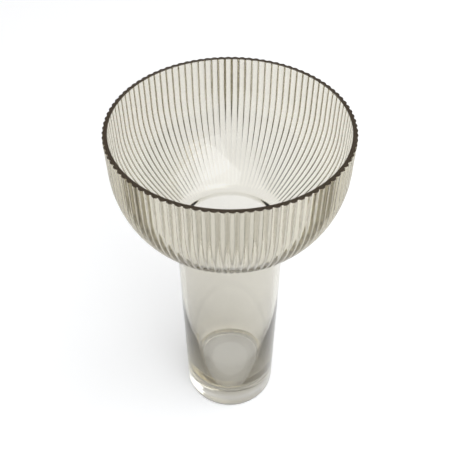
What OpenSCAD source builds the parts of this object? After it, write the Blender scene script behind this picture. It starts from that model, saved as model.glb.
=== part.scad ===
// Ribbed glass vase shaped like a wide funnel: a round ribbed bowl opens into a straight
// round column that stands on a heavy solid base. The three pieces are hot-fused in the
// real object and meet face to face here. Millimetres, +Z up, origin on the floor under
// the middle of the base.

/* [Sizes] */
// Height from the floor to the ground rim
total_h = 300; // [290:1:320]
// Outer diameter of the ribbed rim, over the rib crests
rim_d = 167; // [160:0.5:176]
// Outer diameter of the straight column
column_d = 83; // [78:0.5:88]
// Glass thickness of the column wall
column_wall = 4; // [3:0.25:5]
// Glass thickness of the bowl, measured on a rib crest
bowl_wall = 3.5; // [3:0.25:4.5]
// Thickness of the solid glass base
base_h = 15; // [11:1:22]

/* [Bowl] */
// Height of the upright band below the rim
band_h = 26; // [22:1:30]
// Radius of the upper shoulder curve, outside
shoulder_r = 75; // [72:0.5:77]
// Angle that the shoulder curve turns through
shoulder_a = 39; // [36:0.5:42]
// Radius of the flatter lower curve, outside
floor_r = 110; // [104:1:118]
// Radius of the soft corner where the bowl runs into the column, outside
throat_r = 5; // [4:0.5:8]
// Radius of the rounded lip where the bowl floor drops towards the bore
lip_r = 16; // [12:0.5:18]
// Share of the lip radius that lies outside the bore, which sets how crisp the mouth is
lip_cut = 0.97; // [0.95:0.01:0.98]

/* [Ribs] */
// Number of moulded ribs round the outside
rib_n = 98; // [60:1:98]
// Depth of the valley between two ribs
rib_depth = 1.3; // [0.6:0.1:1.5]
// Width of the valley at the rib crests
rib_gap = 4; // [2.4:0.1:4]

/* [Details] */
// Radius of the fire-polished bottom corner
foot_r = 2; // [1:0.25:3]
// Radius of the rounded corner where the bore meets the base
well_r = 13; // [9:0.5:16]
// Height above which the bore is straight; below it the wall slowly thickens
taper_z = 125; // [110:1:140]
// Slope of the bore wall at the top of the rounded corner
taper_a = 5.7; // [4:0.1:6.5]

/* [Hidden] */
rim_r = rim_d / 2;
column_r = column_d / 2;
bore_r = column_r - column_wall;
// centre of the shoulder curve
c1r = rim_r - shoulder_r;
c1z = total_h - band_h;
// centre of the lower curve, which meets the shoulder curve without a corner
c2r = c1r + (shoulder_r - floor_r) * cos(shoulder_a);
c2z = c1z + (floor_r - shoulder_r) * sin(shoulder_a);
// centre of the concave corner under the bowl
tr = column_r + throat_r;
tz = c2z - sqrt(pow(floor_r + throat_r, 2) - pow(tr - c2r, 2));
// centre of the lip, and the crease where it meets the bore
inner_r = floor_r - bowl_wall;
lr = bore_r + lip_cut * lip_r;
lz = c2z - sqrt(pow(inner_r + lip_r, 2) - pow(lr - c2r, 2));
lip_end = 180 - acos(lip_cut);
crease_z = lz + lip_r * sin(lip_end);
// the joint between bowl and column lies just under the soft corner
joint_z = floor(min(tz, crease_z) - 0.5);
// the slowly thickening wall is one wide arc, which runs into the rounded corner
corner_z = base_h + well_r * (1 - sin(taper_a));
taper_r = (taper_z - corner_z) / sin(taper_a);
corner_c = [bore_r - taper_r + (taper_r - well_r) * cos(taper_a), base_h + well_r];
// how far the cut valleys reach out past the crests, and down past where they run out
gap_out = 0.06;
valley_drop = 20;
fine = 180;

module glass() { color([0.55, 0.53, 0.49, 0.45]) children(); }

// solid disc with a rounded foot; its top face carries the column wall and the well floor
module heavy_base() {
  glass() rotate_extrude($fn = fine) {
    translate([0, foot_r]) square([column_r, base_h - foot_r]);
    square([column_r - foot_r, foot_r]);
    intersection() {
      translate([column_r - foot_r, foot_r]) circle(foot_r, $fn = 48);
      translate([column_r - foot_r, 0]) square([foot_r, foot_r]);
    }
  }
}

// points on a circle round c, from angle a to angle b
function arc(c, r, a, b, n) =
  [for (i = [0:n]) c + r * [cos(a + (b - a) * i / n), sin(a + (b - a) * i / n)]];

// straight tube whose wall thickens towards the base, so the bore ends in a rounded well
module column_tube() {
  glass() rotate_extrude($fn = fine) polygon(concat(
    [[column_r, base_h], [column_r, joint_z], [bore_r, joint_z]],
    arc([bore_r - taper_r, taper_z], taper_r, 0, -taper_a, 5),
    arc(corner_c, well_r, -taper_a - 12, -90, 7)
  ));
}

// section of the bowl: up the outside, over the ground rim, down the inside to the bore
module bowl_profile() {
  throat_a = atan2(tz - c2z, tr - c2r);
  lip_a = atan2(lz - c2z, lr - c2r);
  polygon(concat(
    [[bore_r, joint_z], [column_r, joint_z]],
    arc([tr, tz], throat_r, 180, 180 + throat_a, 6),
    arc([c2r, c2z], floor_r, throat_a + 2, -shoulder_a, 8),
    arc([c1r, c1z], shoulder_r, -shoulder_a + 2, 0, 16),
    [[rim_r, total_h], [rim_r - bowl_wall, total_h]],
    arc([c1r, c1z], shoulder_r - bowl_wall, 0, -shoulder_a, 16),
    arc([c2r, c2z], inner_r, -shoulder_a - 2, lip_a, 8),
    arc([lr, lz], lip_r, 180 + lip_a + 6, lip_end, 6)
  ));
}

// cross-section of one valley: a narrow V whose point lies at x = r
module valley_section(r) {
  s = (rib_depth + gap_out) / rib_depth;
  polygon([[r, 0], [r + rib_depth * s, rib_gap / 2 * s], [r + rib_depth * s, -rib_gap / 2 * s]]);
}

// pressed bowl with a flat ground rim and a smooth inside; the valleys between the ribs run
// straight down the outside until the shoulder curves in past them
module ribbed_bowl() {
  glass() difference() {
    rotate_extrude($fn = fine) bowl_profile();
    for (i = [0:rib_n - 1])
      rotate([0, 0, (i + 0.5) * 360 / rib_n - 90])
        translate([0, 0, c1z - valley_drop])
          linear_extrude(band_h + valley_drop + 1) valley_section(rim_r - rib_depth);
  }
}

heavy_base();
column_tube();
ribbed_bowl();
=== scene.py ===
import bpy
import numpy as np
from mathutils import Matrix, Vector


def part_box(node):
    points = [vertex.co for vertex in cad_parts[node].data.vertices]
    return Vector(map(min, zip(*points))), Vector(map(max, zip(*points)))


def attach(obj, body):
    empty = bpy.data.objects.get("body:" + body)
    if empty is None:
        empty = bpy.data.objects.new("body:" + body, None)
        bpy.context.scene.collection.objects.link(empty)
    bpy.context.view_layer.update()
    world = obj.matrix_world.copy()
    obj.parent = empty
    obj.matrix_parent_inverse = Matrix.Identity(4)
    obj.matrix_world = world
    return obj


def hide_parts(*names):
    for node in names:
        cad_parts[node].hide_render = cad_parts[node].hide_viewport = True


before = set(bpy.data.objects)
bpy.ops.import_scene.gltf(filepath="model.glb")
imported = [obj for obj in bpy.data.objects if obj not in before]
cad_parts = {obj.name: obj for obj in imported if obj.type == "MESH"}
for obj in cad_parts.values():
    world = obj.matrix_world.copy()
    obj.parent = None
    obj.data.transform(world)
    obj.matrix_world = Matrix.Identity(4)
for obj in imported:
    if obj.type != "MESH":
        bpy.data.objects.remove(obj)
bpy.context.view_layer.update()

# ---------------------------------------------------------------------------
# Heavy base: a solid disc of smoke-grey soda glass under the column.
# It is cast hot, its lower corner is fire-polished round, and the column
# wall is fused to the outer part of its flat top.

MM = 0.001
COLUMN_R, _, BASE_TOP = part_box("heavy_base")[1]
FOOT_R = 2.0 * MM
WALL_COLUMN = 4.0 * MM
BORE_R = COLUMN_R - WALL_COLUMN
SEAM = 0.005 * MM
TURNS = 288
SHARP_CORNER = np.radians(35)

# the bore tapers along one wide arc, then rounds into a flat well floor
WELL_R = 13.0 * MM
TAPER_A, TAPER_TOP = 5.7, 125.0 * MM
taper_slope = np.radians(TAPER_A)
taper_end = BASE_TOP + WELL_R * (1 - np.sin(taper_slope))
TAPER_R = (TAPER_TOP - taper_end) / np.sin(taper_slope)
WELL_FLOOR_R = BORE_R - TAPER_R + (TAPER_R - WELL_R) * np.cos(taper_slope)


def arc(centre, radius, start, end, count):
    """Points on a circle: centre plus radius times (cos, sin) of an angle that runs evenly
    from start to end, in degrees."""
    a = np.radians(np.linspace(start, end, count))
    return np.stack([centre[0] + radius * np.cos(a), centre[1] + radius * np.sin(a)], 1)


def line(start, end, count):
    """Points spaced evenly from start to end."""
    t = np.linspace(0.0, 1.0, count)[:, None]
    return np.array(start) * (1 - t) + np.array(end) * t


def joined(**runs):
    """One outline from several named runs of (radius, height) points, each shared end kept
    once. Also gives the row at which each run starts, and the last row as "end"."""
    rows, row_of, total = [], {}, 0
    for name, run in runs.items():
        row_of[name] = max(total - 1, 0)
        rows.append(run[1:] if rows else run)
        total += len(rows[-1])
    row_of["end"] = total - 1
    return np.concatenate(rows), row_of


def turned(name, outline, fused, ground=(), sink=(0, 0), turns=TURNS, first=0.0):
    """A closed solid of revolution: outline row i and angle a give the point
    ((r - s) cos a, (r - s) sin a, z - t), where s and t are the displacements sink[0] and
    sink[1] at [i, a]. The outline is a loop or runs from axis to axis, and walks so that
    faces point out. fused marks the rows of faces where this piece is melted to its
    neighbour, and ground the rows that are cut flat on a wheel."""
    angle = first + np.arange(turns) * 2 * np.pi / turns
    radius = np.repeat(outline[:, :1], turns, 1) - sink[0]
    height = np.repeat(outline[:, 1:], turns, 1) - sink[1]
    points = np.stack([radius * np.cos(angle), radius * np.sin(angle), height], 2)
    loop = np.allclose(outline[0], outline[-1])
    if loop:
        points = points[:-1]
    rows = len(points)
    i = np.arange(rows if loop else rows - 1)[:, None]
    j = np.arange(turns)[None, :]
    a, b = i * turns + j, i * turns + (j + 1) % turns
    c, d = ((i + 1) % rows) * turns + (j + 1) % turns, ((i + 1) % rows) * turns + j
    quads = np.stack([a, b, c, d], 2)
    if loop:
        verts = points.reshape(-1, 3)
        faces = quads.reshape(-1, 4).tolist()
    else:
        # the first and last rows lie on the axis: each becomes one point
        verts = np.concatenate([points[1:-1].reshape(-1, 3), points[0, :1], points[-1, :1]])
        low_tip, high_tip = (np.full(turns, len(verts) - n) for n in (2, 1))
        near, far = quads[0] - turns, quads[-1] - turns
        body = (quads[1:-1] - turns).reshape(-1, 4).tolist()
        low_cap = np.stack([low_tip, near[:, 2], near[:, 3]], 1).tolist()
        high_cap = np.stack([far[:, 0], far[:, 1], high_tip], 1).tolist()
        faces = low_cap + body + high_cap
    mesh = bpy.data.meshes.new(name)
    mesh.from_pydata(verts, [], faces)
    face_row = np.repeat(np.arange(len(quads)), turns)
    for label, marked in (("fused", fused), ("ground", ground)):
        mark = np.isin(face_row, list(marked)).astype(np.float32)
        mesh.attributes.new(label, "FLOAT", "FACE").data.foreach_set("value", mark)
    mesh.polygons.foreach_set("use_smooth", np.ones(len(faces), bool))
    mesh.update()
    mesh.set_sharp_from_angle(angle=SHARP_CORNER)
    piece = bpy.data.objects.new(name, mesh)
    bpy.context.scene.collection.objects.link(piece)
    return piece


class Socket:
    """A shader value that adds Math nodes when it meets + or *."""

    def __init__(self, tree, out):
        self.tree, self.out = tree, out

    def add(self, kind, settings=None, **sockets):
        """A new node of that type with its settings, then its sockets' values or links.
        A socket is named, with _ for a space, or numbered as i0, i1 and so on."""
        node = self.tree.nodes.new(kind)
        for key, value in (settings or {}).items():
            setattr(node, key, value)
        for key, value in sockets.items():
            numbered = key[1:].isdigit()
            place = node.inputs[int(key[1:]) if numbered else key.replace("_", " ")]
            if isinstance(value, Socket):
                self.tree.links.new(value.out, place)
            else:
                place.default_value = value
        return node

    def math(self, operation, other):
        node = self.add("ShaderNodeMath", {"operation": operation}, i0=self, i1=other)
        return Socket(self.tree, node.outputs[0])

    def __add__(self, other):
        return self.math("ADD", other)

    def __mul__(self, other):
        return self.math("MULTIPLY", other)

    __radd__, __rmul__ = __add__, __mul__


GLASS_IOR = 1.5
SMOKE = (0.36, 0.29, 0.06, 1)
# dark brown diffuse for the ground rim: painted shade for the rim's dark look, mixed over frosted
# glass
FROST_AND_PAINTED_SHADE = (0.075, 0.055, 0.038, 1)
STRIAE_PER_M, STRIAE_DEPTH, STRIAE_STRENGTH = 60.0, 0.1 * MM, 0.5
GRIT_PER_M = 900.0
GROUND_ROUGHNESS, GROUND_ROUGHNESS_GRIT = 0.25, 0.4
# how much of the rim's painted shade diffuse is mixed in
SHADED_FROST_SHARE, SHADED_FROST_SHARE_GRIT = 0.6, 0.3


def smoke_glass(name, tint_and_shade, density, stretch):
    """Clear glass that soaks up light along the way, so long paths look dark. Its surface
    tint, set for each piece, is partly the smoke tone and partly painted shade. Faint striae
    bend the light, drawn out along the height when stretch is small. Faces marked ground
    are frosted, a little uneven and mixed with a dark brown diffuse, which is painted shade
    for the dark look of the thick rim, and the fused faces let everything through."""
    material = bpy.data.materials.new(name)
    material.use_nodes = True
    tree = material.node_tree
    tree.nodes.clear()
    start = Socket(tree, None)

    def made(kind, settings=None, output=0, **sockets):
        """One output of a new node, as a Socket."""
        return Socket(tree, start.add(kind, settings, **sockets).outputs[output])

    place = made("ShaderNodeTexCoord", output="Object")
    fused = made("ShaderNodeAttribute", {"attribute_name": "fused"}, "Fac")
    ground = made("ShaderNodeAttribute", {"attribute_name": "ground"}, "Fac")
    drawn = made("ShaderNodeVectorMath", {"operation": "MULTIPLY"}, i0=place, i1=(1, 1, stretch))
    striae = made("ShaderNodeTexNoise", output="Fac", Vector=drawn, Scale=STRIAE_PER_M, Detail=2.0)
    grit = made("ShaderNodeTexNoise", output="Fac", Vector=place, Scale=GRIT_PER_M, Detail=3.0)
    bent = made("ShaderNodeBump", Height=striae, Strength=STRIAE_STRENGTH, Distance=STRIAE_DEPTH)
    glass = made("ShaderNodeBsdfPrincipled", IOR=GLASS_IOR, Transmission_Weight=1.0,
                 Roughness=ground * (grit * GROUND_ROUGHNESS_GRIT + GROUND_ROUGHNESS),
                 Base_Color=(*tint_and_shade, 1), Normal=bent)
    # the ground rim's dark diffuse is painted shade, mixed into the frosted glass below
    frost_and_painted_shade = made("ShaderNodeBsdfDiffuse", Color=FROST_AND_PAINTED_SHADE)
    cut = made("ShaderNodeMixShader", i0=ground * (grit * SHADED_FROST_SHARE_GRIT + SHADED_FROST_SHARE),
               i1=glass, i2=frost_and_painted_shade)
    clear = made("ShaderNodeBsdfTransparent")
    surface = made("ShaderNodeMixShader", i0=fused, i1=cut, i2=clear)
    soak = made("ShaderNodeVolumeAbsorption", Color=SMOKE, Density=density)
    start.add("ShaderNodeOutputMaterial", Surface=surface, Volume=soak)
    return material


# nearly clear surface tint on the base: partly painted light, so the pane seen through the well
# floor stays bright
BASE_GLASS = smoke_glass("smoke_glass_base", (1.0, 1.0, 0.99), 3.0, 1.0)

base_outline, row = joined(
    underside=line((0, 0), (COLUMN_R - FOOT_R, 0), 8),
    foot=arc((COLUMN_R - FOOT_R, FOOT_R), FOOT_R, -90, 0, 9),
    side=line((COLUMN_R, FOOT_R), (COLUMN_R, BASE_TOP - SEAM), 6),
    seat=line((COLUMN_R, BASE_TOP - SEAM), (WELL_FLOOR_R, BASE_TOP - SEAM), 5),
    well_floor=line((WELL_FLOOR_R, BASE_TOP - SEAM), (0, BASE_TOP - SEAM), 8),
)
base = turned("heavy_base_glass", base_outline, range(row["seat"], row["well_floor"]))
base.data.materials.append(BASE_GLASS)
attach(base, "root")
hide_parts("heavy_base")

# ---------------------------------------------------------------------------
# Column: a straight drawn tube of the same glass, fused to the base below and
# to the bowl above. Its wall slowly thickens towards the base, where the bore
# ends in a rounded well.

# column surface tint darker than base and bowl: partly the smoke tone, partly painted shade
COLUMN_GLASS = smoke_glass("smoke_glass_column", (0.865, 0.855, 0.825), 30.0, 0.12)
COLUMN_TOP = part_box("column_tube")[1][2]

column_outline, row = joined(
    outside=line((COLUMN_R, BASE_TOP), (COLUMN_R, COLUMN_TOP - SEAM), 24),
    upper_joint=line((COLUMN_R, COLUMN_TOP - SEAM), (BORE_R, COLUMN_TOP - SEAM), 4),
    bore=line((BORE_R, COLUMN_TOP - SEAM), (BORE_R, TAPER_TOP), 12),
    taper=arc((BORE_R - TAPER_R, TAPER_TOP), TAPER_R, 0, -TAPER_A, 30),
    well=arc((WELL_FLOOR_R, BASE_TOP + WELL_R), WELL_R, -TAPER_A, -90, 20),
    lower_joint=line((WELL_FLOOR_R, BASE_TOP), (COLUMN_R, BASE_TOP), 5),
)
column = turned("column_tube_glass", column_outline,
                [*range(row["upper_joint"], row["bore"]), *range(row["lower_joint"], row["end"])])
column.data.materials.append(COLUMN_GLASS)
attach(column, "root")
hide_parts("column_tube")

# ---------------------------------------------------------------------------
# Bowl: pressed in a ribbed mould, so the outside carries upright convex ribs
# with sharp valleys and the inside is smooth. The rim is ground flat, and the
# floor drops over a rounded lip into the column.

# bowl surface tint: partly the smoke tone, partly painted shade for the dim light seen through its
# walls
BOWL_GLASS = smoke_glass("smoke_glass_bowl", (0.915, 0.905, 0.875), 85.0, 0.5)
RIM_R, _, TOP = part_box("ribbed_bowl")[1]
WALL = 3.5 * MM
BAND = 26.0 * MM
SHOULDER_R, SHOULDER_A = 75.0 * MM, 39.0
FLOOR_R = 110.0 * MM
THROAT_R, LIP_R, LIP_CUT = 5.0 * MM, 16.0 * MM, 0.97
RIBS, RIB_DEPTH = 98, 1.45 * MM
RIB_TURN = 0.048
RIB_RUN_OUT = 2.5 * MM
STEPS = 8
EDGE = 0.35 * MM

lean = np.radians(SHOULDER_A)
shoulder = np.array([RIM_R - SHOULDER_R, TOP - BAND])
floor_c = shoulder + (FLOOR_R - SHOULDER_R) * np.array([-np.cos(lean), np.sin(lean)])


def touching(apart, gap):
    """Centre of a small circle that touches the floor circle from below: it lies gap from
    the axis, and apart from the floor circle's centre, which is the sum of the two radii.
    Also gives the angle of the line from the floor circle's centre to it."""
    across = gap - floor_c[0]
    down = np.sqrt(apart**2 - across**2)
    return np.array([gap, floor_c[1] - down]), np.degrees(np.arctan2(-down, across))


throat, throat_a = touching(FLOOR_R + THROAT_R, COLUMN_R + THROAT_R)
lip, lip_a = touching(FLOOR_R - WALL + LIP_R, BORE_R + LIP_CUT * LIP_R)
lip_end = 180 - np.degrees(np.arccos(LIP_CUT))
crease = (BORE_R, lip[1] + LIP_R * np.sin(np.radians(lip_end)))
bowl_outline, row = joined(
    foot=line((COLUMN_R, COLUMN_TOP), (COLUMN_R, throat[1]), 3),
    throat=arc(throat, THROAT_R, 180, 180 + throat_a, 12),
    underside=arc(floor_c, FLOOR_R, throat_a, -SHOULDER_A, 18),
    shoulder=arc(shoulder, SHOULDER_R, -SHOULDER_A, 0, 26),
    band=line((RIM_R, TOP - BAND), (RIM_R, TOP - EDGE), 5),
    outer_edge=line((RIM_R, TOP - EDGE), (RIM_R - EDGE, TOP), 2),
    rim=line((RIM_R - EDGE, TOP), (RIM_R - WALL + EDGE, TOP), 4),
    inner_edge=line((RIM_R - WALL + EDGE, TOP), (RIM_R - WALL, TOP - EDGE), 2),
    inner_band=line((RIM_R - WALL, TOP - EDGE), (RIM_R - WALL, TOP - BAND), 4),
    inner_shoulder=arc(shoulder, SHOULDER_R - WALL, 0, -SHOULDER_A, 18),
    floor=arc(floor_c, FLOOR_R - WALL, -SHOULDER_A, lip_a, 13),
    lip=arc(lip, LIP_R, 180 + lip_a, lip_end, 12),
    bore=line(crease, (BORE_R, COLUMN_TOP), 4),
    joint=line((BORE_R, COLUMN_TOP), (COLUMN_R, COLUMN_TOP), 4),
)


def rib_valleys(outline, row):
    """Inward displacement of the bowl's outside: valley depth d(row) times u squared, where
    u runs from 0 on a rib's crest to 1 in the valley beside it, along the surface normal.
    d shrinks with the radius squared and runs out to nothing where the floor meets the
    throat."""
    index = np.arange(len(outline))
    u = 1 - np.abs((np.arange(RIBS * STEPS) / STEPS) % 1.0 * 2 - 1)
    radius = outline[:, 0]
    way = np.gradient(outline, axis=0)
    way /= np.maximum(np.linalg.norm(way, axis=1), 1e-12)[:, None]
    outward = np.stack([way[:, 1], -way[:, 0]], 1)
    outward[index >= row["band"]] = (1, 0)
    run_out = np.clip((radius - radius[row["underside"]]) / RIB_RUN_OUT, 0, 1)
    depth = RIB_DEPTH * (radius / RIM_R) ** 2 * run_out
    depth[(index <= row["throat"]) | (index > row["rim"])] = 0
    sink = depth[:, None] * u**2
    return sink * outward[:, :1], sink * outward[:, 1:]


first_valley = np.pi * (-0.5 - 1 / RIBS) + RIB_TURN
bowl = turned("ribbed_bowl_glass", bowl_outline, range(row["joint"], row["end"]),
              range(row["outer_edge"], row["inner_band"]), rib_valleys(bowl_outline, row),
              RIBS * STEPS, first_valley)
bowl.data.materials.append(BOWL_GLASS)
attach(bowl, "root")
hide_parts("ribbed_bowl")

# ---------------------------------------------------------------------------
# Studio: a plain pale floor, a soft wall of light low down and above, a large
# soft box high on the right and a fainter one in front.

FLOOR_HALF, FLOOR_GAP = 6.0, 0.2 * MM
PAPER_WHITE, PAPER_ROUGHNESS, PAPER_GLOW = (0.93, 0.93, 0.93, 1), 0.9, 0.30

paper = bpy.data.materials.new("paper")
paper.use_nodes = True
paper_inputs = paper.node_tree.nodes["Principled BSDF"].inputs
paper_inputs["Base Color"].default_value = PAPER_WHITE
paper_inputs["Roughness"].default_value = PAPER_ROUGHNESS
paper_inputs["Emission Color"].default_value = (1, 1, 1, 1)
paper_inputs["Emission Strength"].default_value = PAPER_GLOW
corners = FLOOR_HALF * np.array([(-1, -1), (1, -1), (1, 1), (-1, 1)])
sweep_mesh = bpy.data.meshes.new("floor")
sweep_mesh.from_pydata([(x, y, -FLOOR_GAP) for x, y in corners], [], [(0, 1, 2, 3)])
sweep_mesh.materials.append(paper)
sweep = bpy.data.objects.new("floor", sweep_mesh)
bpy.context.scene.collection.objects.link(sweep)

world = bpy.data.worlds.new("studio")
bpy.context.scene.world = world
world.use_nodes = True
sky = Socket(world.node_tree, None)
way = Socket(world.node_tree, sky.add("ShaderNodeTexCoord").outputs["Generated"])
up = Socket(world.node_tree, sky.add("ShaderNodeSeparateXYZ", i0=way).outputs["Z"])


def glow(low, high, from_level, to_level):
    """Brightness that eases from one level to another as the sine of the height angle goes
    from low to high."""
    node = sky.add("ShaderNodeMapRange", {"interpolation_type": "SMOOTHSTEP"}, Value=up,
                   From_Min=low, From_Max=high, To_Min=from_level, To_Max=to_level)
    return Socket(world.node_tree, node.outputs[0])


backdrop = world.node_tree.nodes["Background"]
wall_light, top_light = glow(0.42, 0.60, 0.55, 0.10), glow(0.72, 0.82, 0.0, 0.6)
world.node_tree.links.new((wall_light + top_light).out, backdrop.inputs["Strength"])
backdrop.inputs["Color"].default_value = (1, 1, 1, 1)


def soft_box(name, place, aim, width, height, power, colour):
    """A rectangular area light at place that faces aim."""
    light = bpy.data.lights.new(name, "AREA")
    light.shape, light.size, light.size_y = "RECTANGLE", width, height
    light.energy, light.color = power, colour
    lamp = bpy.data.objects.new(name, light)
    bpy.context.scene.collection.objects.link(lamp)
    lamp.location = place
    lamp.rotation_euler = (Vector(aim) - Vector(place)).to_track_quat("-Z", "Y").to_euler()


soft_box("window_front", (0.75, -1.3, 1.6), (0, 0, 0.2), 1.3, 1.3, 6, (0.92, 0.96, 1.0))
soft_box("overhead", (0.95, -0.6, 2.2), (0.2, -0.2, 0), 2.8, 2.2, 35, (0.95, 0.97, 1.0))

EYE_DISTANCE, EYE_TILT, AIM_HEIGHT = 0.480, np.radians(46.176), 0.1994
LENS, SENSOR_WIDTH, NEAREST = 48.66, 36.0, 0.02
camera_data = bpy.data.cameras.new("camera")
camera_data.lens, camera_data.sensor_width = LENS, SENSOR_WIDTH
camera_data.clip_start = NEAREST
camera = bpy.data.objects.new("camera", camera_data)
camera.location = (0, -EYE_DISTANCE * np.cos(EYE_TILT),
                   AIM_HEIGHT + EYE_DISTANCE * np.sin(EYE_TILT))
camera.rotation_euler = (np.pi / 2 - EYE_TILT, 0, 0)
bpy.context.scene.collection.objects.link(camera)
bpy.context.scene.camera = camera

# light crosses many faces of glass before it reaches the paper
GLASS_BOUNCES, GLOSS_BOUNCES = 32, 16
scene = bpy.context.scene
scene.view_settings.view_transform = "Standard"
scene.cycles.max_bounces = GLASS_BOUNCES
scene.cycles.transmission_bounces = GLASS_BOUNCES
scene.cycles.glossy_bounces = GLOSS_BOUNCES
scene.cycles.transparent_max_bounces = GLASS_BOUNCES
scene.cycles.caustics_refractive = True
scene.cycles.caustics_reflective = True
